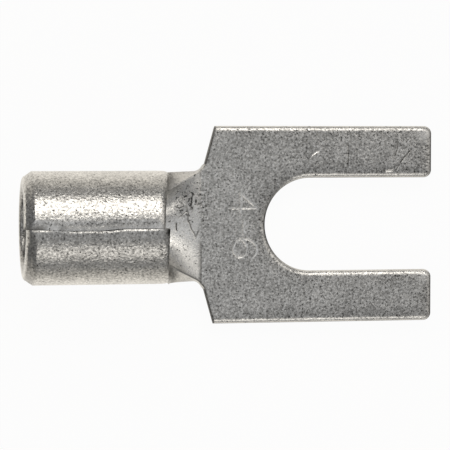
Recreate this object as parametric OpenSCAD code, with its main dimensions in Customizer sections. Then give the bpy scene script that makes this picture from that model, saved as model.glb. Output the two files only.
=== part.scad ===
// Fork terminal for crimping to a wire end, stamped and rolled from one piece of tinned copper sheet.
// The stud axis is the Z axis, the seat is the plane z = 0 and the tines point along +X.
// All sizes are millimetres.

/* [Sheet] */
// thickness of the sheet
stock_t = 1.0; // [0.8:0.05:1.2]
// break on the upper edges of the fork, left by the punch
edge_break = 0.16; // [0.08:0.02:0.22]

/* [Barrel] */
// inside diameter of the wire barrel
bore_d = 3.5; // [3.0:0.1:4.0]
// length of the barrel from its mouth to the neck
barrel_len = 7.08; // [5.5:0.02:8.5]
// lean of the barrel's inner end, away from the fork at the top
end_lean = 8; // [2:1:14]
// length of the outer chamfer at the mouth, along the barrel
mouth_chamfer_len = 0.34; // [0.2:0.02:0.6]
// depth of the outer chamfer at the mouth, in radius
mouth_chamfer_depth = 0.24; // [0.12:0.01:0.32]
// length of the steep edge between that chamfer and the end face, along the barrel
mouth_edge_len = 0.12; // [0.06:0.01:0.2]
// depth of the steep edge, in radius
mouth_edge_depth = 0.26; // [0.12:0.01:0.32]
// bevel that leads the strands into the bore
bore_bevel = 0.12; // [0.05:0.01:0.2]

/* [Seam] */
// width of the groove between the rolled shoulders of the closed seam
seam_groove_w = 0.7; // [0.4:0.02:1.0]
// depth of that groove below the barrel's top
seam_groove_depth = 0.15; // [0.08:0.01:0.24]

/* [Neck] */
// length of the neck from the barrel to the crease in which its trough ends
neck_len = 1.93; // [1.6:0.01:2.6]
// width across the neck's two cut edges
neck_w = 5.44; // [5.1:0.02:5.48]
// radius in the corner between neck and shoulder
neck_corner_r = 0.5; // [0.3:0.05:0.7]
// how fast the trough opens out: 1 is even, more is faster next to the barrel
neck_opening = 1.05; // [1.0:0.05:2.0]

/* [Fork] */
// width over both tines
fork_w = 9.88; // [9.0:0.02:11.0]
// width of the slot that takes the stud
slot_w = 4.69; // [4.2:0.01:5.2]
// length from the stud axis to the tine tips
tine_reach = 6.29; // [5.0:0.01:7.5]
// length from the stud axis back to the shoulder corners
shoulder_back = 5.0; // [4.3:0.02:5.6]
// slant of the shoulders behind the corners
shoulder_slant = 15.5; // [10:0.5:22]
// radius of the four corners at the tips
tip_r = 0.38; // [0.3:0.02:0.6]

/* [Hidden] */
$fn = 96;
barrel_or = bore_d / 2 + stock_t;
barrel_ir = bore_d / 2;
// the crease: the slanted shoulders would meet the neck's sides here, and the sheet is flat from here on
neck_flat_x = -shoulder_back - (fork_w - neck_w) / 2 * tan(shoulder_slant);
neck_start_x = neck_flat_x - neck_len;
mouth_x = neck_start_x - barrel_len;
// tangent length and tangent points of the corner between neck and shoulder
corner_turn = 90 - shoulder_slant;
corner_run = neck_corner_r * tan(corner_turn / 2);
corner_x0 = neck_flat_x - corner_run;
corner_x1 = neck_flat_x + corner_run * sin(shoulder_slant);
// the flat tab of the neck reaches this far into the tongue
tab_end_x = (corner_x1 - shoulder_back) / 2;
tongue_x = (corner_x1 + tab_end_x) / 2;
// how far the neck reaches into the barrel's wall, and how far it keeps inside both faces there
neck_lap = 0.4;
neck_inset = 0.015;
// steps of the loft along the neck, round each half of its corners and across the sheet
neck_steps = 8;
corner_steps = 3;
across_steps = 24;
// cutters pass the faces they cut by this much
over = 0.05;
tin = [0.66, 0.66, 0.65];

// half width of the blank at x, from the neck round the corner and out along the shoulder
function half_w(x) =
    x <= corner_x0 ? neck_w / 2 :
    x <= corner_x1 ? neck_w / 2 + neck_corner_r - sqrt(pow(neck_corner_r, 2) - pow(x - corner_x0, 2)) :
    neck_w / 2 + (x - neck_flat_x) / tan(shoulder_slant);

// how much of the barrel's curve is left at x: one at the barrel and none from the crease on
function curl(x) =
    x <= neck_start_x ? 1 :
    x >= neck_flat_x ? 0 :
    pow((neck_flat_x - x) / neck_len, neck_opening);

// the faces keep inside the barrel's wall up to its end and reach full thickness one step later
function inset_at(x) =
    neck_inset * max(0, min(1, 1 - (x - neck_start_x) * neck_steps / neck_len));

// angle of the sheet against the seat at its cut edge
function edge_angle(x) = asin(min(1, neck_w / 2 / barrel_or * curl(x)));

// point at x on the sheet, q from -1 to 1 across it, at a height above its lower face
function sheet_point(x, q, height) =
    let (
        turn = edge_angle(x),
        angle = q * turn,
        y = turn > 0 ? half_w(x) * sin(angle) / sin(turn) : half_w(x) * q
    )
    [x, y - height * sin(angle), y * tan(angle / 2) + height * cos(angle)];

// x of every section of the loft
neck_stations = concat(
    [neck_start_x - neck_lap],
    [for (i = [0 : neck_steps - 1]) neck_start_x + i * (corner_x0 - neck_start_x) / neck_steps],
    [for (i = [0 : corner_steps - 1]) corner_x0 + i * corner_run / corner_steps],
    [for (i = [0 : corner_steps]) neck_flat_x + i * (corner_x1 - neck_flat_x) / corner_steps],
    [tab_end_x]
);

// loft from the barrel's lower half to the flat tongue, one section at each station
module neck() {
    row = across_steps + 1;
    last = len(neck_stations) - 1;
    lower = [for (x = neck_stations) for (i = [0 : across_steps])
        sheet_point(x, 2 * i / across_steps - 1, inset_at(x))];
    upper = [for (x = neck_stations) for (i = [0 : across_steps])
        sheet_point(x, 2 * i / across_steps - 1, stock_t - inset_at(x))];
    top = len(lower);
    skins = [for (s = [0 : last - 1]) for (i = [0 : across_steps - 1])
        let (a = s * row + i, b = a + row)
        each [
            [a, b + 1, a + 1], [a, b, b + 1],
            [top + a, top + a + 1, top + b + 1], [top + a, top + b + 1, top + b]
        ]];
    edges = [for (s = [0 : last - 1])
        let (a = s * row, b = a + row, c = a + across_steps, d = c + row)
        each [
            [a, top + b, b], [a, top + a, top + b],
            [c, d, top + d], [c, top + d, top + c]
        ]];
    ends = [for (i = [0 : across_steps - 1])
        let (a = i, b = last * row + i)
        each [
            [a, a + 1, top + a + 1], [a, top + a + 1, top + a],
            [b, top + b + 1, b + 1], [b, top + b, top + b + 1]
        ]];
    polyhedron(points = concat(lower, upper), faces = concat(skins, edges, ends), convexity = 6);
}

// profile of the barrel's wall, turned round the barrel's axis
module barrel_wall() {
    rotate_extrude()
        polygon([
            [barrel_ir + bore_bevel, 0],
            [barrel_or - mouth_chamfer_depth - mouth_edge_depth, 0],
            [barrel_or - mouth_chamfer_depth, mouth_edge_len],
            [barrel_or, mouth_edge_len + mouth_chamfer_len],
            [barrel_or, barrel_len],
            [barrel_ir, barrel_len],
            [barrel_ir, bore_bevel]
        ]);
}

// shallow groove between the rolled shoulders of the closed seam
module seam_groove() {
    half = seam_groove_w / 2;
    rotate([90, 0, 90])
        linear_extrude(barrel_len + 2 * over)
            polygon([
                [-half, barrel_or + over],
                [-half * 0.4, barrel_or - seam_groove_depth * 0.7],
                [0, barrel_or - seam_groove_depth],
                [half * 0.4, barrel_or - seam_groove_depth * 0.7],
                [half, barrel_or + over]
            ]);
}

// rolled barrel with its mouth to -X, seam on top and leaning inner end
module barrel() {
    reach = 3 * barrel_or;
    difference() {
        translate([mouth_x, 0, barrel_or])
            rotate([0, 90, 0])
                barrel_wall();
        translate([mouth_x - over, 0, barrel_or])
            seam_groove();
        translate([neck_start_x, -reach / 2, barrel_or])
            rotate([0, -end_lean, 0])
                cube([reach, reach, reach]);
    }
}

// outline of the tongue with its shoulders, rounded tips and stud slot
module fork_outline() {
    difference() {
        union() {
            polygon([
                [tongue_x, -half_w(tongue_x)],
                [-shoulder_back, -fork_w / 2],
                [tine_reach - tip_r, -fork_w / 2],
                [tine_reach - tip_r, fork_w / 2],
                [-shoulder_back, fork_w / 2],
                [tongue_x, half_w(tongue_x)]
            ]);
            for (side = [-1, 1])
                translate([0, side * (fork_w + slot_w) / 4])
                    tine_tip();
        }
        circle(d = slot_w);
        translate([0, -slot_w / 2])
            square([tine_reach + over, slot_w]);
    }
}

// end of one tine with both corners rounded
module tine_tip() {
    tine_w = (fork_w - slot_w) / 2;
    translate([tine_reach - 2 * tip_r, -tine_w / 2 + tip_r])
        square([2 * tip_r, tine_w - 2 * tip_r]);
    for (side = [-1, 1])
        translate([tine_reach - tip_r, side * (tine_w / 2 - tip_r)])
            circle(tip_r);
}

// bar that takes the break off an edge along +X, with the sheet on the side of +Y
module edge_bar(length) {
    rotate([90, 0, 90])
        linear_extrude(length)
            polygon([
                [-over, stock_t - edge_break - over],
                [edge_break + over, stock_t + over],
                [-over, stock_t + over]
            ]);
}

// flat tongue with the breaks on its sides, slot and tips
module tongue() {
    difference() {
        linear_extrude(stock_t)
            fork_outline();
        for (side = [0, 1])
            mirror([0, side, 0]) {
                translate([-shoulder_back - stock_t, -fork_w / 2, 0])
                    edge_bar(tine_reach + shoulder_back + 2 * stock_t);
                translate([0, slot_w / 2, 0])
                    edge_bar(tine_reach + stock_t);
                translate([tine_reach, slot_w / 2 - stock_t, 0])
                    rotate([0, 0, 90])
                        edge_bar(fork_w / 2);
            }
        translate([0, 0, stock_t - edge_break])
            cylinder(d1 = slot_w, d2 = slot_w + 2 * (edge_break + over), h = edge_break + over);
    }
}

// the whole terminal, one piece of sheet
module fork_terminal() {
    color(tin)
        union() {
            barrel();
            neck();
            tongue();
        }
}

fork_terminal();
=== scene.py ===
"""Looks of the fork terminal: one piece of tinned copper sheet, stamped flat and then rolled.

The visible mesh is made the way the real part is. A flat blank is outlined and filled with
triangles, its edges get their rounding, and one rule rolls it into barrel, neck and tongue.
A point of the blank has a place x along the terminal and a place v across the sheet.
The blank's lower face becomes the outside of the barrel. North is +Y and east is +X.
Sizes are in millimetres in the CAD frame until the mesh is written, which is in metres.
"""

import math

import bpy
import numpy as np
from mathutils import Matrix, Vector
from mathutils.geometry import delaunay_2d_cdt


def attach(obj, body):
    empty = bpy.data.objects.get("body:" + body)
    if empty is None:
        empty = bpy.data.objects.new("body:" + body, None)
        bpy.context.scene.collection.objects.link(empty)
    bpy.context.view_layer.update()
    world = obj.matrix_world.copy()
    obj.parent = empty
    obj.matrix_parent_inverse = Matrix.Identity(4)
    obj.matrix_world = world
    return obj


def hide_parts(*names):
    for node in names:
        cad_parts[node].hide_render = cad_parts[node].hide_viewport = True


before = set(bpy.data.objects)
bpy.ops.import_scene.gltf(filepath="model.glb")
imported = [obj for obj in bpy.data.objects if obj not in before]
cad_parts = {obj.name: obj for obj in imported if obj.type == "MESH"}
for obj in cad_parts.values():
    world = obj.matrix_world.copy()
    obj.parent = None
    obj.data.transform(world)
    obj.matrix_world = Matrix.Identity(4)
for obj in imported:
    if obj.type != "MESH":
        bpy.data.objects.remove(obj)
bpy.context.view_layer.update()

MM = 0.001

# Sizes of the sheet, as in the part's source
STOCK_T = 1.0
BARREL_OR = 2.75
BARREL_LEN = 7.08
NECK_LEN = 1.93
NECK_W = 5.44
NECK_CORNER_R = 0.5
NECK_OPENING = 1.05
FORK_W = 9.88
SLOT_W = 4.69
TINE_REACH = 6.29
SHOULDER_BACK = 5.0
SHOULDER_SLANT = math.radians(15.5)
TIP_R = 0.38
END_LEAN = math.radians(8)
SEAM_GAP = 0.02

NECK_FLAT_X = -SHOULDER_BACK - (FORK_W - NECK_W) / 2 * math.tan(SHOULDER_SLANT)
NECK_START_X = NECK_FLAT_X - NECK_LEN
BARREL_END_X = NECK_START_X - BARREL_OR * math.tan(END_LEAN)
MOUTH_X = NECK_START_X - BARREL_LEN
CORNER_RUN = NECK_CORNER_R * math.tan((math.pi / 2 - SHOULDER_SLANT) / 2)
SEAM_V = math.pi * BARREL_OR - SEAM_GAP / 2

# Where this terminal is not symmetric: half width of the neck, north and south
NECK_HALVES = (NECK_W / 2 - 0.03, NECK_W / 2 + 0.13)
# length from the stud axis back to the shoulder corners, north and south
SHOULDER_BACKS = (SHOULDER_BACK - 0.13, SHOULDER_BACK - 0.03)
# how far the ends of the barrel's halves are out of line, at the mouth and at the inner end
HALF_SHIFTS = (0.062, 0.12)
# sideways wander of the seam along the barrel, as (x, shift to the south)
SEAM_WANDER = [
    (MOUTH_X, -0.05), (MOUTH_X + 1.0, -0.05), (MOUTH_X + 2.0, 0.02),
    (MOUTH_X + 3.7, 0.02), (MOUTH_X + 4.6, -0.07), (NECK_START_X, -0.07),
]
# places along the barrel where the seam is filled up, as (middle, spread), and how far
SEAM_FILLS = [(MOUTH_X + 1.5, 0.4), (NECK_START_X - 0.6, 0.35)]
SEAM_FILL_SHARE = 0.75

# Edge forms: width and depth of the rounding on the upper and on the lower face of the blank
EDGES = {
    "mouth": {"upper": (0.14, 0.12), "lower": (0.46, 0.50)},
    "seam_north": {"upper": (0.04, 0.04), "lower": (0.42, 0.10)},
    "seam_south": {"upper": (0.04, 0.04), "lower": (0.12, 0.034)},
    "end": {"upper": (0.10, 0.10), "lower": (0.36, 0.10)},
    "neck": {"upper": (0.06, 0.06), "lower": (0.06, 0.06)},
    "shoulder": {"upper": (0.05, 0.05), "lower": (0.08, 0.55)},
    "side": {"upper": (0.24, 0.22), "lower": (0.08, 0.55)},
    "tip": {"upper": (0.28, 0.24), "lower": (0.08, 0.55)},
    "slot": {"upper": (0.24, 0.22), "lower": (0.08, 0.55)},
}
# length of the steep round at the mouth, and depth of the chamfer that follows it
MOUTH_ROUND, MOUTH_CHAMFER = 0.12, 0.24
# the chamfer grows from this share to its full width over this distance from the seam's south edge
MOUTH_TAPER_SHARE, MOUTH_TAPER = 0.3, 0.8
# the tongue falls off gently towards these edges, over this width and by this depth
CROWN_EDGES = ("side", "tip", "slot")
CROWN_WIDTH, CROWN_DEPTH = 0.9, 0.045
# edges with more than this angle between their faces stay sharp
SHARP_ANGLE = math.radians(50)

# Spacing of points on the blank's outline, its neck corners and its tips, inside it and along marks
OUTLINE_STEP, CORNER_STEP, TIP_STEP = 0.08, 0.03, 0.04
FILL_STEP, MARK_STEP, CREASE_STEP = 0.14, 0.05, 0.1
# rings of points inside an edge: at these shares of its widths, least gap between them, and margin beyond
RING_SHARES = (0.08, 0.29, 0.62, 1.0)
RING_GAP, RING_MARGIN = 0.012, 0.06
# a ring's point stays where every edge is at least this share of the ring's distance away
RING_CLEAR = 0.93
# lines of points along a mark, as shares of its half width, size of a cell that keeps one point, and margin
MARK_SHARES = (0, 0.35, -0.35, 0.7, -0.7, 1, -1, 1.5, -1.5)
MARK_CELL, MARK_MARGIN = 0.02, 0.06
# reach of the crease's points to either side, and distance that the grid keeps from the crease
CREASE_REACH, CREASE_CLEAR = 3, 0.11
# settings of the fill: keep what is inside the outline, and merge points that are this close
FILL_INSIDE, FILL_MERGE = 1, 1e-7

# Scratches in the neck and on a tine, as points on the blank
SCRATCH_HALF, SCRATCH_DEPTH = 0.055, 0.02
SCRATCHES = [
    [(-6.34, 1.0), (-6.26, 0.65), (-6.29, 0.3), (-6.18, 0.05), (-6.11, -0.2), (-5.95, -0.45), (-5.9, -0.65)],
    [(-5.75, -0.3), (-5.9, -0.65)],
    [(-6.87, 0.1), (-6.87, -0.35)],
    [(-6.03, 1.7), (-6.11, 1.25), (-6.08, 0.9)],
    [(-6.69, 0.55), (-6.45, 0.75), (-6.23, 0.85)],
    [(1.90, 4.05), (1.93, 3.6), (1.90, 2.95)],
    [(4.50, 4.02), (4.45, 3.75), (4.34, 3.49)],
    [(5.20, 3.77), (4.69, 3.20), (4.40, 2.70)],
    [(3.82, 2.80), (3.77, 2.55)],
]
# Spots rubbed bright, in the same way
RUB_HALF, RUB_DEPTH = 0.08, 0.03
RUBS = [
    [(0.04, 3.49), (0.27, 3.66)],
    [(3.88, 2.66), (4.24, 2.71)],
]
# Groove left in the crease: half width, depth, and distances from the middle where it begins and is deepest
CREASE_HALF, CREASE_DEPTH, CREASE_SIDES = 0.06, 0.02, (0.8, 1.8)

# Wire-size mark pressed into the tongue: plain figures, as (place along the line, stroke)
STAMP_X, STAMP_Y, STAMP_HEIGHT, STAMP_WIDTH = -4.0, 1.6, 1.2, 1.8
STAMP_HALF, STAMP_DEPTH = 0.085, 0.02
STAMP_GLYPHS = [
    (0.0, [(0.42, 0.0), (0.42, 1.0), (0.0, 0.32), (0.58, 0.32)]),
    (0.78, [(0.0, 0.45), (0.3, 0.45)]),
    (1.28, [
        (0.5, 0.86), (0.38, 0.98), (0.2, 0.98), (0.07, 0.85), (0.0, 0.6),
        (0.0, 0.3), (0.08, 0.1), (0.24, 0.0), (0.4, 0.05), (0.5, 0.2),
        (0.5, 0.4), (0.4, 0.54), (0.24, 0.58), (0.08, 0.5), (0.0, 0.34),
    ]),
]

# Mesh attribute that tells how far the plating is rubbed bright, or lightened as painted highlight and sheen,
# from 0 to 1.
# A fade is a pair of distances: where there is none of it, and where there is all of it.
WEAR_AND_SHEEN = "wear_and_sheen"
# in the neck, to the south and to the north of its middle strip, with fades at the crease and in the bore
NECK_WEAR, NECK_STRIP = (0.97, 0.85), 1
NECK_CREASE_FADE, NECK_BORE_FADE = (0, 0.12), (0.3, 0.1)
# on the barrel's sides and on its top, and the angles from the underside, in radians, between the two; the
# lighter sides are partly painted sheen that stands for the bright table's reflection
BARREL_WEAR_AND_SHEEN, BARREL_WEAR_ANGLES = (0.54, 0.16), (1.9, 2.3)
# in the seam's groove, by the distance from the seam's north edge
SEAM_WEAR, SEAM_GROOVE_FADE = 0.75, (0.26, 0.0975)
# the tongue made lighter at its root, by x
ROOT_LIGHTENING, ROOT_FADE = 0.08, (-1, -4)
# on the rounding of the fork's edges, where they face east, west, north and south; these levels by facing add
# a painted highlight to the rubbed edges
EDGE_WEAR_AND_HIGHLIGHT, EDGE_FADE = (0.35, 0.2, 0.75, 1.0), (0.275, 0.055)
# in the stamped mark and the rubbed spots, which are all bright in this share of their half width
STAMP_WEAR, MARK_CORE = 0.65, 1 / 3
# on two corners of the tips, as (x, v, radius), which are all bright in this share of the radius; rubbed,
# with a painted highlight on these north-east corners
CORNER_RUBS_AND_HIGHLIGHTS, CORNER_WEAR_AND_HIGHLIGHT, CORNER_CORE = [(5.85, 4.55, 0.6), (5.9, -2.7, 0.5)], 0.85, 2 / 7

# Mesh attribute that tells how far dirt, bare cuts and painted shade darken the plating, from 0 to 1
DIRT_AND_SHADE = "dirt_and_shade"
# on the neck's cut edges, and painted shade on the brow of the south one, with the share that its rim has
CUT_DIRT, CUT_REACH = 0.3, 0.06
BROW_PAINTED_SHADE, BROW_REACH, BROW_RIM = 0.65, 0.14, 0.3
# on the sheared walls of the fork, where they face east, west, north and south, faded by shares of a reach;
# duller shear, with painted shade set by facing that stands for the table's shadow seen in the walls
WALL_DIRT_AND_SHADE = (0.95, 0.8, 0.25, 0.75)
WALL_REACH, WALL_FADE = (0.09, 0.06, 0.03, 0.032), (1.6, 0.6)
# painted shade in a band inside those walls, in the same order, with the fades on its outer and on its inner
# side
PAINTED_EDGE_SHADE = (0.05, 0.0, 0.12, 0.15)
SHADE_OUTER_FADE, SHADE_INNER_FADE = (0.2, 0.3), (0.85, 0.45)
# painted shade on the tongue, from its south side to its north side
TONGUE_PAINTED_SHADE = (0.0, 0.10)
# dirt in the scratches, and painted shade in the bore behind the neck and in the crease to the south, along x
# and along v
SCRATCH_DIRT = 0.7
BORE_PAINTED_SHADE, BORE_FADE = 0.35, (0.15, 0.45)
CREASE_PAINTED_SHADE, CREASE_FADE, CREASE_SOUTH_FADE = 0.5, (0.078, 0.018), (0.8, 1.1)
# painted shade on the mouth's chamfer, north and south, from these distances to the next one, with the length
# of its fades
CHAMFER_PAINTED_SHADE, CHAMFER_FROM = (0.22, 0.38), (0.12, 0.07)
CHAMFER_TO, CHAMFER_FADE = 0.5, 0.06
# in the seam's groove all along and at the mouth
SEAM_DIRT = 0.12
SEAM_MOUTH_DIRT, SEAM_MOUTH_FADE = 0.65, (1.2, 0.8)
# painted shade in a band south of the seam and on the barrel's top beyond it, which both begin with the same
# fade
SEAM_BAND_PAINTED_SHADE, SEAM_BAND_FADE = 0.25, (0.45, 0.2)
SOUTH_TOP_PAINTED_SHADE, SOUTH_TOP_FADE = 0.18, (1.7, 1.3)
SEAM_EDGE_FADE = (0.08, 0.14)
# painted shade at the barrel's inner end, weaker on its sides, by the angle from the underside in radians
END_PAINTED_SHADE, END_REACH = 0.6, 0.14
END_SHARES, END_ANGLES = (0.35, 1), (2.1, 2.45)
# painted shadow in that end's corner, this far south of the seam
END_CORNER_PAINTED_SHADOW, END_CORNER_V, END_CORNER_FADE = 0.92, 0.15, (0.42, 0.097)

# Noise in the plating, as (scale per millimetre, detail, roughness)
GRAIN_NOISE = (8.5, 3, 0.6)
LUMP_NOISE = (6.0, 2, 0.6)
SPECK_NOISE = (10.0, 1, 0.6)
CLOUD_NOISE = (0.8, 2, 0.6)
PIT_NOISE = (7.0, 2, 0.7)
# dull and light grain, as (level of the noise, colour), and the colour of rubbed tin, also used for painted
# highlight and sheen
DULL_GRAIN = (0.36, (0.295, 0.288, 0.274, 1))
LIGHT_GRAIN = (0.64, (0.78, 0.759, 0.721, 1))
RUBBED_AND_SHEEN_COLOR = (0.86, 0.842, 0.808)
# levels of the noise between which there are bright specks, dark specks, pits and clouds, and what those do
BRIGHT_SPECKS = (0.60, 0.66)
DARK_SPECKS, DARK_SPECK_SHARE = (0.31, 0.39), 0.85
PITS, PIT_SHARE = (0.29, 0.36), 0.85
CLOUDS, CLOUD_LEVELS = (0.3, 0.7), (0.92, 1.08)
# a patch in the neck has more pits: its middle, the distances over which it fades, and how many more
PATCH_AT, PATCH_FADE, PATCH_PITS = (-6.15, 1.2, 1.3), (0.3, 1.6), 0.12
# roughness of dull and of light grain, and what dirt and painted shade add to it
GRAIN_LEVELS, GRAIN_ROUGHNESS = (0.35, 0.65), (0.34, 0.25)
DIRT_LEVELS, DIRT_ROUGHNESS = (0.22, 0.9), 0.4
# height of the grain, and of the lumps against it
GRAIN_HEIGHT, LUMP_SHARE = 0.012, 1.3

# Table: its size in metres, its colour and its roughness
FLOOR_SIZE, FLOOR_COLOR, FLOOR_ROUGHNESS = 4, (0.84, 0.82, 0.78, 1), 0.9
# share of its look that is plain white to the camera
FLOOR_WHITE_SEEN = 0.95
# the same in reflections, near the terminal and far to its sides, the distances there, and the tint
FLOOR_WHITE_NEAR, FLOOR_WHITE_FAR = 0.97, 0.08
FLOOR_NEAR, FLOOR_FAR = 4.5, 18
FLOOR_TINT_MIRRORED = (1.0, 0.965, 0.90, 1)

# Soft sky: brightest round this direction, with its level at some cosines of the angle from it
SKY_COLOR = (0.98, 1.0, 1.03)
SKY_AXIS = (-0.2, 0.0, 0.98)
SKY_STOPS = [(0.0, 0.25), (0.5, 0.17), (0.84, 0.25), (0.965, 0.64)]

# Soft lamps, as (name, azimuth from east to north, angle from straight up, size in metres, radiance)
LAMPS = [
    ("north_strip", 92, 45.5, (0.30, 0.235), 2.55),
    ("east_panel", 26, 37, (0.20, 0.20), 0.75),
    ("east_low", 15, 62, (0.40, 0.20), 0.42),
    ("south_strip", -86, 48, (0.40, 0.16), 1.3),
]
# their distance in metres and their slightly warm white
LAMP_DISTANCE = 0.4
LAMP_COLOR = (1.0, 0.97, 0.92)

# Camera fitted to the photograph: what it looks at, its tip to the west, its lean to the north, its distance
CAMERA_TARGET = (-4.409, 0.005, 1.0)
CAMERA_TIP, CAMERA_LEAN = math.radians(10.124), math.radians(2.635)
CAMERA_DISTANCE = 94.84
# focal length and image width in pixels, and width of the sensor
FOCAL_PX, IMAGE_PX, SENSOR_W = 1901.844, 450, 36
CAMERA_CLIP_START = 1.0

# Least bend of the sheet and least length, which keep divisions safe
LEAST_BEND, LEAST_LENGTH = 1e-6, 1e-6
# Points that are measured at a time
CHUNK = 2000


def ramp(value, none, full):
    """Share that goes evenly from none at one value to all at another."""
    return np.clip((value - none) / (full - none), 0, 1)


def quarter_round(share):
    """Fall of a quarter round, from none at its inner end to one at the edge."""
    return 1 - np.sqrt(1 - share ** 2)


def sheet_bend(x):
    """Curvature of the sheet at x: the barrel's in the barrel, and next to none in the tongue."""
    curl = np.clip((NECK_FLAT_X - np.asarray(x, float)) / NECK_LEN, 0, 1) ** NECK_OPENING
    return np.maximum(curl / BARREL_OR, LEAST_BEND)


def form(x, v, h):
    """Rolls points of the blank, at height h above its lower face, into the finished shape."""
    bend = sheet_bend(x)
    angle = v * bend
    y = np.sin(angle) / bend - h * np.sin(angle)
    z = 2 * np.sin(angle / 2) ** 2 / bend + h * np.cos(angle)
    shift = np.interp(x, (MOUTH_X, NECK_START_X), HALF_SHIFTS) * (angle / math.pi) ** 3
    return np.stack([x - shift, y, z], axis=-1)


def blank_v(x, half_width):
    """Place on the blank of an edge that has this half width in the finished shape."""
    bend = sheet_bend(x)
    return np.arcsin(np.minimum(1, bend * half_width)) / bend


def line(a, b, step=OUTLINE_STEP):
    """Points from a to b, without b."""
    a, b = np.array(a, float), np.array(b, float)
    n = max(1, int(round(np.linalg.norm(b - a) / step)))
    return a + (b - a) * np.arange(n)[:, None] / n


def arc(centre, radius, start, end, step):
    """Points on an arc between two angles in degrees, without the last."""
    n = max(3, int(round(abs(math.radians(end - start)) * radius / step)))
    t = np.radians(start + (end - start) * np.arange(n) / n)
    return np.array(centre) + radius * np.stack([np.cos(t), np.sin(t)], axis=1)


def seam_shift(x):
    """How far the seam has wandered to the south at x."""
    return np.interp(x, *np.array(SEAM_WANDER).T)


def seam_line(side):
    """Seam edge of the north half, side 1, or of the south half, side -1, turned to the north."""
    x = line((MOUTH_X, 0), (BARREL_END_X, 0))[:, 0]
    return np.stack([x, SEAM_V + side * seam_shift(x)], axis=1)


def barrel_end_line(half, side):
    """Inner end of the barrel, from the seam down to the edge of a neck with this half width."""
    neck_v = float(blank_v(NECK_START_X, half))
    v = line((SEAM_V + side * SEAM_WANDER[-1][1], 0), (neck_v, 0))[:, 0]
    lean = np.maximum(0, -np.cos(v / BARREL_OR)) * BARREL_OR * math.tan(END_LEAN)
    return np.stack([NECK_START_X - lean, v], axis=1)


def neck_line(half, root_x):
    """Cut edge of the neck with the corner into the shoulder, which would meet the neck at root_x."""
    corner_x = root_x - CORNER_RUN
    x = np.concatenate([
        line((NECK_START_X, 0), (corner_x, 0))[:, 0],
        line((corner_x, 0), (root_x + CORNER_RUN * math.sin(SHOULDER_SLANT), 0), CORNER_STEP)[:, 0],
    ])
    over = np.clip(x - corner_x, 0, None)
    half_width = half + NECK_CORNER_R - np.sqrt(NECK_CORNER_R ** 2 - over ** 2)
    return np.stack([x, blank_v(x, half_width)], axis=1)


def half_outline(half, back, side):
    """The outline of one half of the blank, as (edge name, points), from the seam to the slot's root.

    The neck has this half width, and the shoulder's corner lies this far back from the stud axis.
    The side is 1 for the north half and -1 for the south half, which is turned to the north.
    """
    root_x = -back - (FORK_W / 2 - half) * math.tan(SHOULDER_SLANT)
    corner = (root_x + CORNER_RUN * math.sin(SHOULDER_SLANT), half + CORNER_RUN * math.cos(SHOULDER_SLANT))
    side_y, slot_y = FORK_W / 2, SLOT_W / 2
    tip_x = TINE_REACH - TIP_R
    tip = np.concatenate([
        arc((tip_x, side_y - TIP_R), TIP_R, 90, 0, TIP_STEP),
        line((TINE_REACH, side_y - TIP_R), (TINE_REACH, slot_y + TIP_R)),
        arc((tip_x, slot_y + TIP_R), TIP_R, 0, -90, TIP_STEP),
    ])
    slot = np.concatenate([
        line((tip_x, slot_y), (0, slot_y)),
        arc((0, 0), slot_y, 90, 180, OUTLINE_STEP),
    ])
    return [
        ("seam_north" if side > 0 else "seam_south", seam_line(side)),
        ("end", barrel_end_line(half, side)),
        ("neck", neck_line(half, root_x)),
        ("shoulder", line(corner, (-back, side_y))),
        ("side", line((-back, side_y), (tip_x, side_y))),
        ("tip", tip),
        ("slot", slot),
    ]


def blank_outline():
    """Closed outline of the blank, clockwise from the mouth: points, and the name of the edge after each."""
    at_mouth = SEAM_WANDER[0][1]
    points = [line((MOUTH_X, at_mouth - SEAM_V), (MOUTH_X, at_mouth + SEAM_V))]
    names = ["mouth"] * len(points[0])
    north, south = (half_outline(*sizes) for sizes in zip(NECK_HALVES, SHOULDER_BACKS, (1, -1)))
    for name, part in north:
        points.append(part)
        names += [name] * len(part)
    # the south half is turned back and walked from the slot's root to the mouth
    loop = np.concatenate([part for _, part in south])
    points.append(np.array([[-SLOT_W / 2, 0.0]]))
    points.append((loop[::-1] * (1, -1))[:-1])
    names += [name for name, part in south for _ in part][::-1]
    return np.concatenate(points), names


def edge_pieces(outline, names, wanted):
    """Line pieces of the outline that belong to the wanted edges, as an array of ends."""
    ends = np.stack([outline, np.roll(outline, -1, axis=0)], axis=1)
    return ends[[name in wanted for name in names]]


def mark_pieces(marks):
    """Line pieces of marks that are given as points, as an array of ends."""
    pieces = []
    for mark in marks:
        points = np.array(mark, float)
        pieces += list(zip(points[:-1], points[1:]))
    return np.array(pieces)


def stamp_pieces():
    """Line pieces of the wire-size mark on the tongue, as an array of ends."""
    strokes = []
    for place, stroke in STAMP_GLYPHS:
        along, up = np.array(stroke).T
        y = STAMP_Y - (along + place) * STAMP_WIDTH
        strokes.append(np.stack([STAMP_X + up * STAMP_HEIGHT, y], axis=1))
    return mark_pieces(strokes)


def nearest_piece(points, pieces):
    """Distance of every point to the nearest line piece, and the number of that piece."""
    a, b = pieces[:, 0], pieces[:, 1]
    run = b - a
    length2 = np.maximum((run ** 2).sum(1), LEAST_LENGTH ** 2)
    best, number = [], []
    for first in range(0, len(points), CHUNK):
        p = points[first:first + CHUNK, None, :]
        t = np.clip(((p - a) * run).sum(2) / length2, 0, 1)
        gap = np.linalg.norm(p - a - t[..., None] * run, axis=2)
        best.append(gap.min(1))
        number.append(gap.argmin(1))
    return np.concatenate(best), np.concatenate(number)


def distance(points, pieces):
    """Distance of every point to the nearest line piece."""
    return nearest_piece(points, pieces)[0]


def edge_distance(points, outline, names, edge):
    """Distance of every point to one edge of the blank."""
    return distance(points, edge_pieces(outline, names, (edge,)))


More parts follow.
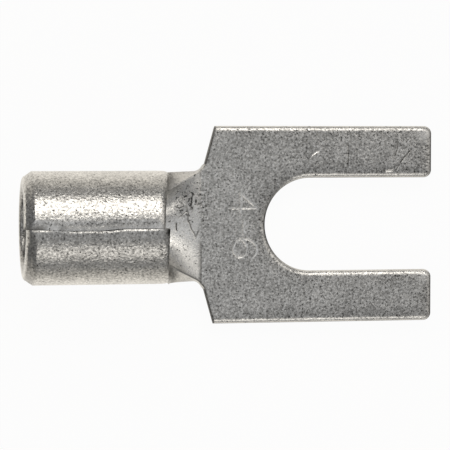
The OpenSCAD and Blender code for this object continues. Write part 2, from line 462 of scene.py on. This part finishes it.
def fork_edge(points, outline, names):
    """Distance of every point to the fork's cut edge, and the direction that the edge faces there."""
    pieces = edge_pieces(outline, names, ("shoulder", "side", "tip", "slot"))
    gap, number = nearest_piece(points, pieces)
    run = (pieces[:, 1] - pieces[:, 0])[number]
    run /= np.linalg.norm(run, axis=1)[:, None]
    return gap, np.stack([-run[:, 1], run[:, 0]], axis=1)


def by_facing(facing, levels):
    """Level at every point, from the levels for edges that face east, west, north and south."""
    east, west, north, south = levels
    along = np.where(facing[:, 0] > 0, east, west)
    across = np.where(facing[:, 1] > 0, north, south)
    return along * facing[:, 0] ** 2 + across * facing[:, 1] ** 2


def seam_distance(points):
    """Distance of every point of the south half from the seam."""
    return points[:, 1] + SEAM_V - seam_shift(points[:, 0])


def seam_groove(points):
    """Share of the smooth groove along the seam's north edge at every point."""
    return ramp(SEAM_V + seam_shift(points[:, 0]) - points[:, 1], *SEAM_GROOVE_FADE)


def seam_fill(x):
    """How far the seam is filled up at x: near the mouth and at the barrel's inner end."""
    return np.maximum.reduce([np.exp(-((x - middle) / spread) ** 2) for middle, spread in SEAM_FILLS])


def inside(points, outline):
    """Which points lie inside the closed outline."""
    x, v = points.T
    hit = np.zeros(len(points), bool)
    for (ax, av), (bx, bv) in zip(outline, np.roll(outline, -1, axis=0)):
        if av != bv:
            spans = (v < av) != (v < bv)
            hit ^= spans & (x < ax + (v - av) * (bx - ax) / (bv - av))
    return hit


def ring_steps(edge):
    """Distances from an edge at which rings of points carry its form."""
    widths = [width for width, _ in EDGES[edge].values()]
    shares = sorted({round(width * share, 3) for width in widths for share in RING_SHARES})
    steps = [s for i, s in enumerate(shares) if i == 0 or s - shares[i - 1] > RING_GAP]
    return steps + [steps[-1] + RING_MARGIN]


def ring_points(outline, names):
    """Points in rings inside the outline, which carry the edge forms."""
    pieces = edge_pieces(outline, names, EDGES)
    along = pieces[:, 1] - pieces[:, 0]
    along /= np.linalg.norm(along, axis=1)[:, None]
    inward = np.stack([along[:, 1], -along[:, 0]], axis=1)
    at_point = inward + np.roll(inward, 1, axis=0)
    at_point /= np.maximum(np.linalg.norm(at_point, axis=1)[:, None], LEAST_LENGTH)
    rings = []
    for edge in EDGES:
        mine = np.array([name == edge for name in names])
        for step in ring_steps(edge):
            ring = outline[mine] + at_point[mine] * step
            rings.append(ring[inside(ring, outline) & (distance(ring, pieces) > RING_CLEAR * step)])
    return np.concatenate(rings)


def mark_points(pieces, half):
    """Points along marks of this half width and beside them."""
    lines = []
    for a, b in pieces:
        run = (b - a) / np.linalg.norm(b - a)
        side = np.array([-run[1], run[0]])
        lines += [line(a, b, MARK_STEP) + side * share * half for share in MARK_SHARES]
    points = np.concatenate(lines)
    # strokes that cross leave points on top of each other, so only one is kept in each small cell
    _, first = np.unique(np.round(points / MARK_CELL).astype(int), axis=0, return_index=True)
    return points[np.sort(first)]


def fill_points(outline, names):
    """Points that fill the blank inside the rings: a grid, and lines along the crease and the marks."""
    low, high = outline.min(0), outline.max(0)
    gx, gv = np.meshgrid(np.arange(low[0], high[0], FILL_STEP), np.arange(low[1], high[1], FILL_STEP))
    grid = np.stack([gx.ravel(), gv.ravel()], axis=1)
    keep = inside(grid, outline) & (np.abs(grid[:, 0] - NECK_FLAT_X) > CREASE_CLEAR)
    for edge in EDGES:
        keep &= edge_distance(grid, outline, names, edge) > ring_steps(edge)[-1] + RING_MARGIN
    grid = grid[keep]
    across = np.arange(-CREASE_REACH, CREASE_REACH, CREASE_STEP)
    crease = np.array([(NECK_FLAT_X + off, v) for off in (-CREASE_HALF, 0, CREASE_HALF) for v in across])
    clear = distance(crease, edge_pieces(outline, names, EDGES)) > CREASE_STEP
    crease = crease[inside(crease, outline) & clear]
    marks = []
    for pieces, half in (
        (stamp_pieces(), STAMP_HALF), (mark_pieces(SCRATCHES), SCRATCH_HALF), (mark_pieces(RUBS), RUB_HALF),
    ):
        marks.append(mark_points(pieces, half))
        grid = grid[distance(grid, pieces) > half + MARK_MARGIN]
        crease = crease[distance(crease, pieces) > 2 * half]
    return np.concatenate([grid, crease, *marks])


def fill_blank(outline, names):
    """The filled blank: points, triangles, all turned one way, and the numbers of the rim's points."""
    flat = np.concatenate([outline, ring_points(outline, names), fill_points(outline, names)])
    count = len(outline)
    loop = [(i, (i + 1) % count) for i in range(count)]
    filled = delaunay_2d_cdt([Vector(p) for p in flat], loop, [], FILL_INSIDE, FILL_MERGE)
    flat, tris, source = np.array(filled[0]), np.array(filled[2]), filled[3]
    number = {old: new for new, olds in enumerate(source) for old in olds}
    a, b, c = (flat[tris[:, corner]] for corner in range(3))
    turn = (b - a)[:, 0] * (c - a)[:, 1] - (b - a)[:, 1] * (c - a)[:, 0]
    tris[turn < 0] = tris[turn < 0][:, ::-1]
    return flat, tris, [number[i] for i in range(count)]


def mouth_cut(points, gap, width, depth):
    """How far the mouth's chamfer and the steep round at its end take the barrel's outside back."""
    flat = width - MOUTH_ROUND
    wide = flat * np.interp(points[:, 1] + SEAM_V, (0, MOUTH_TAPER), (MOUTH_TAPER_SHARE, 1))
    chamfer = MOUTH_CHAMFER * np.clip((MOUTH_ROUND + wide - gap) / flat, 0, 1)
    return chamfer + (depth - MOUTH_CHAMFER) * quarter_round(ramp(gap, MOUTH_ROUND, 0))


def edge_drop(points, outline, names, face):
    """How far the edge forms take a face of the blank back at every point."""
    drop = np.zeros(len(points))
    for edge, faces in EDGES.items():
        width, depth = faces[face]
        gap = edge_distance(points, outline, names, edge)
        share = ramp(gap, width, 0)
        cut = depth * quarter_round(share)
        if face == "upper" and edge in CROWN_EDGES:
            cut += CROWN_DEPTH * ramp(gap, CROWN_WIDTH, 0) ** 2
        elif face == "lower" and edge == "mouth":
            cut = mouth_cut(points, gap, width, depth)
        elif face == "lower" and edge.startswith("seam"):
            cut = depth * 0.5 * (1 - np.cos(math.pi * share))
            cut *= 1 - SEAM_FILL_SHARE * seam_fill(points[:, 0])
        elif face == "lower" and depth > width:
            cut = depth * share
        drop = np.maximum(drop, cut)
    return drop


def groove_drop(points, pieces, half, depth):
    """Depth of rounded grooves at every point."""
    share = ramp(distance(points, pieces), half, 0)
    return depth * share * share * (3 - 2 * share)


def mark_drop(points):
    """Depth of the figures, scratches, rubbed spots and crease at every point of the upper face."""
    x, v = points.T
    crease = ramp(np.abs(x - NECK_FLAT_X), CREASE_HALF, 0) * ramp(np.abs(v), *CREASE_SIDES)
    return np.maximum.reduce([
        groove_drop(points, stamp_pieces(), STAMP_HALF, STAMP_DEPTH),
        groove_drop(points, mark_pieces(SCRATCHES), SCRATCH_HALF, SCRATCH_DEPTH),
        groove_drop(points, mark_pieces(RUBS), RUB_HALF, RUB_DEPTH),
        CREASE_DEPTH * crease,
    ])


def upper_wear_and_sheen(points, outline, names):
    """How bright the upper face is: rubbed on the fork's edges and tips, in the neck and in marks, with
    painted highlight on the edges and tip corners, and lighter at the root.
    """
    x, v = points.T
    gap, facing = fork_edge(points, outline, names)
    neck = np.interp(v, (-NECK_STRIP, NECK_STRIP), NECK_WEAR)
    neck *= ramp(NECK_FLAT_X - x, *NECK_CREASE_FADE) * ramp(NECK_START_X - x, *NECK_BORE_FADE)
    # rubbed tip corners, with a painted highlight
    tips = [
        CORNER_WEAR_AND_HIGHLIGHT * ramp(np.hypot(x - at_x, v - at_v), radius, CORNER_CORE * radius)
        for at_x, at_v, radius in CORNER_RUBS_AND_HIGHLIGHTS
    ]
    return np.maximum.reduce([
        # rubbed edges, brighter by the way they face: partly painted highlight
        by_facing(facing, EDGE_WEAR_AND_HIGHLIGHT) * ramp(gap, *EDGE_FADE),
        neck,
        # the tongue made lighter towards its root
        ROOT_LIGHTENING * ramp(x, *ROOT_FADE),
        STAMP_WEAR * ramp(distance(points, stamp_pieces()), STAMP_HALF, MARK_CORE * STAMP_HALF),
        ramp(distance(points, mark_pieces(RUBS)), RUB_HALF, MARK_CORE * RUB_HALF),
        *tips,
    ])


def lower_wear_and_sheen(points):
    """How bright the lower face is: rubbed, with painted sheen on the barrel's sides, less on the barrel's
    top, and more in the seam's groove.
    """
    # lighter barrel sides: partly painted sheen
    outside = np.interp(np.abs(points[:, 1]) / BARREL_OR, BARREL_WEAR_ANGLES, BARREL_WEAR_AND_SHEEN)
    return np.maximum(outside, np.maximum(SEAM_WEAR, seam_fill(points[:, 0])) * seam_groove(points))


def cut_dirt_and_shade(points, outline, names):
    """How dark the cut edges are on both faces: the neck's, and the fork's walls by the way they face, where
    it is partly painted shade.
    """
    gap, facing = fork_edge(points, outline, names)
    reach = by_facing(facing, WALL_REACH)
    # sheared walls, darkened by facing: partly painted shade
    wall = by_facing(facing, WALL_DIRT_AND_SHADE) * ramp(gap, *(share * reach for share in WALL_FADE))
    return np.maximum(wall, CUT_DIRT * ramp(edge_distance(points, outline, names, "neck"), CUT_REACH, 0))


def upper_dirt_and_shade(points, outline, names):
    """How dark the upper face is: painted shade on the tongue, inside the fork's edges, on the neck's brow,
    in the bore and crease, and dirt in the scratches.
    """
    x, v = points.T
    gap, facing = fork_edge(points, outline, names)
    # painted shade in a band inside the fork's edges
    shade = by_facing(facing, PAINTED_EDGE_SHADE) * ramp(gap, *SHADE_OUTER_FADE) * ramp(gap, *SHADE_INNER_FADE)
    # painted shade on the tongue, growing to the north
    tongue = np.interp(v, (-FORK_W / 2, FORK_W / 2), TONGUE_PAINTED_SHADE) * (x > NECK_FLAT_X)
    neck_gap = edge_distance(points, outline, names, "neck")
    # painted shade on the south neck edge's brow
    brow = ramp(neck_gap, BROW_REACH, BROW_REACH / 2) * (v < 0)
    brow *= np.maximum(BROW_RIM, ramp(neck_gap, 0, BROW_REACH / 4))
    return np.maximum.reduce([
        shade + tongue,
        BROW_PAINTED_SHADE * brow,
        # painted shade in the bore
        BORE_PAINTED_SHADE * ramp(NECK_START_X - x, *BORE_FADE),
        SCRATCH_DIRT * ramp(distance(points, mark_pieces(SCRATCHES)), SCRATCH_HALF, 0),
        # painted shade in the crease, to the south
        CREASE_PAINTED_SHADE * ramp(np.abs(x - NECK_FLAT_X), *CREASE_FADE) * ramp(-v, *CREASE_SOUTH_FADE),
    ])


def mouth_painted_shade(points):
    """Painted shade on the mouth's chamfer, on the lower face."""
    from_mouth = points[:, 0] - MOUTH_X
    north = points[:, 1] > 0
    start = np.where(north, *CHAMFER_FROM)
    begin = ramp(from_mouth, start - CHAMFER_FADE, start)
    # painted shade on the chamfer
    return np.where(north, *CHAMFER_PAINTED_SHADE) * begin * ramp(from_mouth, CHAMFER_TO, CHAMFER_TO - CHAMFER_FADE)


def seam_dirt_and_shade(points):
    """How dark the lower face is along the seam: dirt in its groove, most at the mouth, and painted shade
    south of it.
    """
    gap = seam_distance(points)
    groove = np.maximum(SEAM_DIRT, SEAM_MOUTH_DIRT * ramp(points[:, 0] - MOUTH_X, *SEAM_MOUTH_FADE))
    # painted shade south of the seam and on the barrel's top
    band = SEAM_BAND_PAINTED_SHADE * ramp(gap, *SEAM_BAND_FADE)
    top = SOUTH_TOP_PAINTED_SHADE * ramp(gap, *SOUTH_TOP_FADE)
    south = np.maximum(band, top) * ramp(gap, *SEAM_EDGE_FADE)
    return np.maximum(groove * seam_groove(points), south)


def end_painted_shade(points, outline, names):
    """Painted shade at the barrel's inner end on the lower face, and painted shadow in its corner south of
    the seam.
    """
    # painted shade along the barrel's inner end
    rim = ramp(edge_distance(points, outline, names, "end"), END_REACH, END_REACH / 2)
    rim *= np.interp(np.abs(points[:, 1]) / BARREL_OR, END_ANGLES, END_SHARES)
    # painted shadow in the end's corner
    corner = np.hypot(points[:, 0] - BARREL_END_X, seam_distance(points) - END_CORNER_V)
    return np.maximum(END_PAINTED_SHADE * rim, END_CORNER_PAINTED_SHADOW * ramp(corner, *END_CORNER_FADE))


def terminal_mesh():
    """The finished terminal: points in millimetres, faces, and at every point wear with painted sheen, and
    dirt with painted shade.
    """
    outline, names = blank_outline()
    flat, tris, rim = fill_blank(outline, names)
    count = len(flat)
    upper = form(*flat.T, STOCK_T - edge_drop(flat, outline, names, "upper") - mark_drop(flat))
    lower = form(*flat.T, edge_drop(flat, outline, names, "lower"))
    faces = [tuple(t) for t in tris]
    faces += [tuple(t[::-1] + count) for t in tris]
    faces += [(p, q, q + count, p + count) for p, q in zip(rim, rim[1:] + rim[:1])]
    wear_and_sheen = [upper_wear_and_sheen(flat, outline, names), lower_wear_and_sheen(flat)]
    cut = cut_dirt_and_shade(flat, outline, names)
    dirt_and_shade = [
        np.maximum(cut, upper_dirt_and_shade(flat, outline, names)),
        np.maximum.reduce([cut, end_painted_shade(flat, outline, names), mouth_painted_shade(flat), seam_dirt_and_shade(flat)]),
    ]
    return np.concatenate([upper, lower]), faces, np.concatenate(wear_and_sheen), np.concatenate(dirt_and_shade)


def make_terminal():
    """The terminal as one mesh piece."""
    points, faces, wear_and_sheen, dirt_and_shade = terminal_mesh()
    mesh = bpy.data.meshes.new("terminal_sheet")
    mesh.from_pydata((points * MM).tolist(), [], [tuple(int(i) for i in face) for face in faces])
    mesh.validate()
    mesh.attributes.new(WEAR_AND_SHEEN, "FLOAT", "POINT").data.foreach_set("value", wear_and_sheen)
    mesh.attributes.new(DIRT_AND_SHADE, "FLOAT", "POINT").data.foreach_set("value", dirt_and_shade)
    mesh.polygons.foreach_set("use_smooth", [True] * len(mesh.polygons))
    mesh.set_sharp_from_angle(angle=SHARP_ANGLE)
    piece = bpy.data.objects.new("terminal_sheet", mesh)
    bpy.context.scene.collection.objects.link(piece)
    return piece


def noise_node(nodes, links, coords, scale, detail, roughness):
    """Noise texture in millimetre coordinates."""
    node = nodes.new("ShaderNodeTexNoise")
    node.inputs["Scale"].default_value = scale
    node.inputs["Detail"].default_value = detail
    node.inputs["Roughness"].default_value = roughness
    links.new(coords, node.inputs["Vector"])
    return node.outputs["Fac"]


def math_node(nodes, links, operation, *values):
    """Math node whose inputs are sockets or numbers."""
    node = nodes.new("ShaderNodeMath")
    node.operation = operation
    for slot, value in zip(node.inputs, values):
        if isinstance(value, (int, float)):
            slot.default_value = value
        else:
            links.new(value, slot)
    return node.outputs["Value"]


def range_node(nodes, links, value, low, high, to_low, to_high):
    """Smooth map from one range of values to another."""
    node = nodes.new("ShaderNodeMapRange")
    node.interpolation_type = "SMOOTHSTEP"
    links.new(value, node.inputs["Value"])
    for name, number in (("From Min", low), ("From Max", high), ("To Min", to_low), ("To Max", to_high)):
        node.inputs[name].default_value = number
    return node.outputs["Result"]


def attribute_node(nodes, name):
    """Value of a mesh attribute."""
    node = nodes.new("ShaderNodeAttribute")
    node.attribute_name = name
    return node.outputs["Fac"]


def pit_nodes(nodes, links, coords):
    """Pits in the plating, with more of them in a patch in the neck."""
    patch = nodes.new("ShaderNodeVectorMath")
    patch.operation = "DISTANCE"
    patch.inputs[1].default_value = PATCH_AT
    links.new(coords, patch.inputs[0])
    more = range_node(nodes, links, patch.outputs["Value"], *PATCH_FADE, PATCH_PITS, 0)
    field = math_node(nodes, links, "SUBTRACT", noise_node(nodes, links, coords, *PIT_NOISE), more)
    return range_node(nodes, links, field, *PITS, 1, 0)


def tin_material():
    """Dull tin plating: fine light and dark grain with bright and dark specks, pits and faint clouds of tone.

    Wear, which also carries painted highlight and sheen, mixes in the colour of rubbed tin and takes the dark
    specks away. Dirt, which also carries painted shade, darkens and roughens.
    """
    mat = bpy.data.materials.new("tinned_copper")
    mat.use_nodes = True
    nodes, links = mat.node_tree.nodes, mat.node_tree.links
    shader = nodes["Principled BSDF"]
    shader.inputs["Metallic"].default_value = 1.0
    where = nodes.new("ShaderNodeTexCoord")
    scale = nodes.new("ShaderNodeMapping")
    scale.inputs["Scale"].default_value = (1 / MM, 1 / MM, 1 / MM)
    links.new(where.outputs["Object"], scale.inputs["Vector"])
    coords = scale.outputs["Vector"]

    grain, lumps, specks, cloud = (
        noise_node(nodes, links, coords, *noise)
        for noise in (GRAIN_NOISE, LUMP_NOISE, SPECK_NOISE, CLOUD_NOISE)
    )
    pits = pit_nodes(nodes, links, coords)
    wear_and_sheen, dirt_and_shade = attribute_node(nodes, WEAR_AND_SHEEN), attribute_node(nodes, DIRT_AND_SHADE)

    tone = nodes.new("ShaderNodeValToRGB")
    for stop, (position, color) in zip(tone.color_ramp.elements, (DULL_GRAIN, LIGHT_GRAIN)):
        stop.position = position
        stop.color = color
    links.new(grain, tone.inputs["Fac"])
    bright = math_node(nodes, links, "MAXIMUM", wear_and_sheen, range_node(nodes, links, specks, *BRIGHT_SPECKS, 0, 1))
    # mix towards rubbed tin by wear and painted sheen
    rubbed = nodes.new("ShaderNodeMix")
    rubbed.data_type = "VECTOR"
    links.new(bright, rubbed.inputs[0])
    links.new(tone.outputs["Color"], rubbed.inputs[4])
    rubbed.inputs[5].default_value = RUBBED_AND_SHEEN_COLOR

    dark = range_node(nodes, links, specks, *DARK_SPECKS, -DARK_SPECK_SHARE, 0)
    level = math_node(nodes, links, "MULTIPLY_ADD", pits, -PIT_SHARE, 1.0)
    for factor in (
        math_node(nodes, links, "MULTIPLY_ADD", dark, math_node(nodes, links, "SUBTRACT", 1.0, wear_and_sheen), 1.0),
        range_node(nodes, links, cloud, *CLOUDS, *CLOUD_LEVELS),
        # the dirt attribute, which carries painted shade too, darkens the colour
        math_node(nodes, links, "SUBTRACT", 1.0, dirt_and_shade),
    ):
        level = math_node(nodes, links, "MULTIPLY", level, factor)
    shade = nodes.new("ShaderNodeVectorMath")
    shade.operation = "SCALE"
    links.new(rubbed.outputs[1], shade.inputs[0])
    links.new(level, shade.inputs["Scale"])
    links.new(shade.outputs["Vector"], shader.inputs["Base Color"])

    smooth = range_node(nodes, links, grain, *GRAIN_LEVELS, *GRAIN_ROUGHNESS)
    grimy = range_node(nodes, links, dirt_and_shade, *DIRT_LEVELS, 0, DIRT_ROUGHNESS)
    links.new(math_node(nodes, links, "ADD", smooth, grimy), shader.inputs["Roughness"])

    height = math_node(nodes, links, "MULTIPLY_ADD", lumps, LUMP_SHARE, grain)
    height = math_node(nodes, links, "SUBTRACT", height, pits)
    bump = nodes.new("ShaderNodeBump")
    bump.inputs["Strength"].default_value = 1.0
    bump.inputs["Distance"].default_value = GRAIN_HEIGHT * MM
    links.new(height, bump.inputs["Height"])
    links.new(bump.outputs["Normal"], shader.inputs["Normal"])
    return mat


def floor_material():
    """Pale table. Seen directly or in the metal it is mostly plain white, and the rest keeps the shadow."""
    mat = bpy.data.materials.new("floor_white")
    mat.use_nodes = True
    nodes, links = mat.node_tree.nodes, mat.node_tree.links
    shader = nodes["Principled BSDF"]
    shader.inputs["Base Color"].default_value = FLOOR_COLOR
    shader.inputs["Roughness"].default_value = FLOOR_ROUGHNESS
    where = nodes.new("ShaderNodeTexCoord")
    split = nodes.new("ShaderNodeSeparateXYZ")
    links.new(where.outputs["Object"], split.inputs["Vector"])
    aside = math_node(nodes, links, "ABSOLUTE", split.outputs["Y"])
    near = range_node(nodes, links, aside, FLOOR_NEAR * MM, FLOOR_FAR * MM, FLOOR_WHITE_NEAR, FLOOR_WHITE_FAR)
    path = nodes.new("ShaderNodeLightPath")
    seen = path.outputs["Is Camera Ray"]
    glossy, through = path.outputs["Is Glossy Ray"], path.outputs["Is Transmission Ray"]
    mirrored = math_node(nodes, links, "MULTIPLY", math_node(nodes, links, "MAXIMUM", glossy, through), near)
    tint = nodes.new("ShaderNodeMix")
    tint.data_type = "RGBA"
    links.new(seen, tint.inputs["Factor"])
    tint.inputs["A"].default_value = FLOOR_TINT_MIRRORED
    tint.inputs["B"].default_value = (1, 1, 1, 1)
    white = nodes.new("ShaderNodeEmission")
    white.inputs["Strength"].default_value = 1
    links.new(tint.outputs["Result"], white.inputs["Color"])
    mix = nodes.new("ShaderNodeMixShader")
    links.new(math_node(nodes, links, "MULTIPLY_ADD", seen, FLOOR_WHITE_SEEN, mirrored), mix.inputs["Fac"])
    links.new(shader.outputs["BSDF"], mix.inputs[1])
    links.new(white.outputs["Emission"], mix.inputs[2])
    links.new(mix.outputs["Shader"], nodes["Material Output"].inputs["Surface"])
    return mat


def make_floor():
    """Plain table under the terminal."""
    bpy.ops.mesh.primitive_plane_add(size=FLOOR_SIZE)
    floor = bpy.context.object
    floor.name = "floor"
    floor.data.materials.append(floor_material())


def make_sky():
    """Soft sky, darker to the sides."""
    world = bpy.data.worlds.new("studio")
    bpy.context.scene.world = world
    world.use_nodes = True
    nodes, links = world.node_tree.nodes, world.node_tree.links
    sky = nodes["Background"]
    where = nodes.new("ShaderNodeTexCoord")
    toward = nodes.new("ShaderNodeVectorMath")
    toward.operation = "DOT_PRODUCT"
    toward.inputs[1].default_value = SKY_AXIS
    links.new(where.outputs["Generated"], toward.inputs[0])
    levels = nodes.new("ShaderNodeValToRGB")
    stops = levels.color_ramp.elements
    stops[0].position, stops[1].position = SKY_STOPS[0][0], SKY_STOPS[-1][0]
    for place, _ in SKY_STOPS[1:-1]:
        stops.new(place)
    for stop, (_, level) in zip(stops, SKY_STOPS):
        stop.color = (*(level * part for part in SKY_COLOR), 1)
    links.new(toward.outputs["Value"], levels.inputs["Fac"])
    links.new(levels.outputs["Color"], sky.inputs["Color"])
    sky.inputs["Strength"].default_value = 1


def add_lamp(name, azimuth, zenith_angle, size, radiance):
    """Soft lamp aimed at the terminal, with its length level and its angles in degrees."""
    data = bpy.data.lights.new(name, "AREA")
    data.shape = "RECTANGLE"
    data.size, data.size_y = size
    data.energy = radiance * math.pi * size[0] * size[1]
    data.color = LAMP_COLOR
    lamp = bpy.data.objects.new(name, data)
    turn, fall = math.radians(azimuth), math.radians(zenith_angle)
    away = Vector((math.cos(turn) * math.sin(fall), math.sin(turn) * math.sin(fall), math.cos(fall)))
    side = Vector((0, 0, 1)).cross(away).normalized()
    facing = Matrix((side, away.cross(side), away)).transposed()
    lamp.matrix_world = Matrix.Translation(away * LAMP_DISTANCE) @ facing.to_4x4()
    bpy.context.scene.collection.objects.link(lamp)


def make_camera():
    """Camera above the terminal, tipped towards the barrel's mouth and a little to the north."""
    away = Vector((-math.sin(CAMERA_TIP), math.sin(CAMERA_LEAN), 0))
    away.z = math.sqrt(1 - away.length_squared)
    right = (-away).cross(Vector((0, 1, 0))).normalized()
    facing = Matrix((right, right.cross(-away), away)).transposed()
    place = (Vector(CAMERA_TARGET) + away * CAMERA_DISTANCE) * MM
    data = bpy.data.cameras.new("camera")
    data.sensor_width = SENSOR_W
    data.lens = SENSOR_W * FOCAL_PX / IMAGE_PX
    data.clip_start = CAMERA_CLIP_START * MM
    camera = bpy.data.objects.new("camera", data)
    camera.matrix_world = Matrix.Translation(place) @ facing.to_4x4()
    bpy.context.scene.collection.objects.link(camera)
    bpy.context.scene.camera = camera


terminal = make_terminal()
terminal.data.materials.append(tin_material())
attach(terminal, "root")
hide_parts("fork_terminal")
make_floor()
make_sky()
for lamp_sizes in LAMPS:
    add_lamp(*lamp_sizes)
make_camera()
bpy.context.scene.view_settings.view_transform = "Standard"
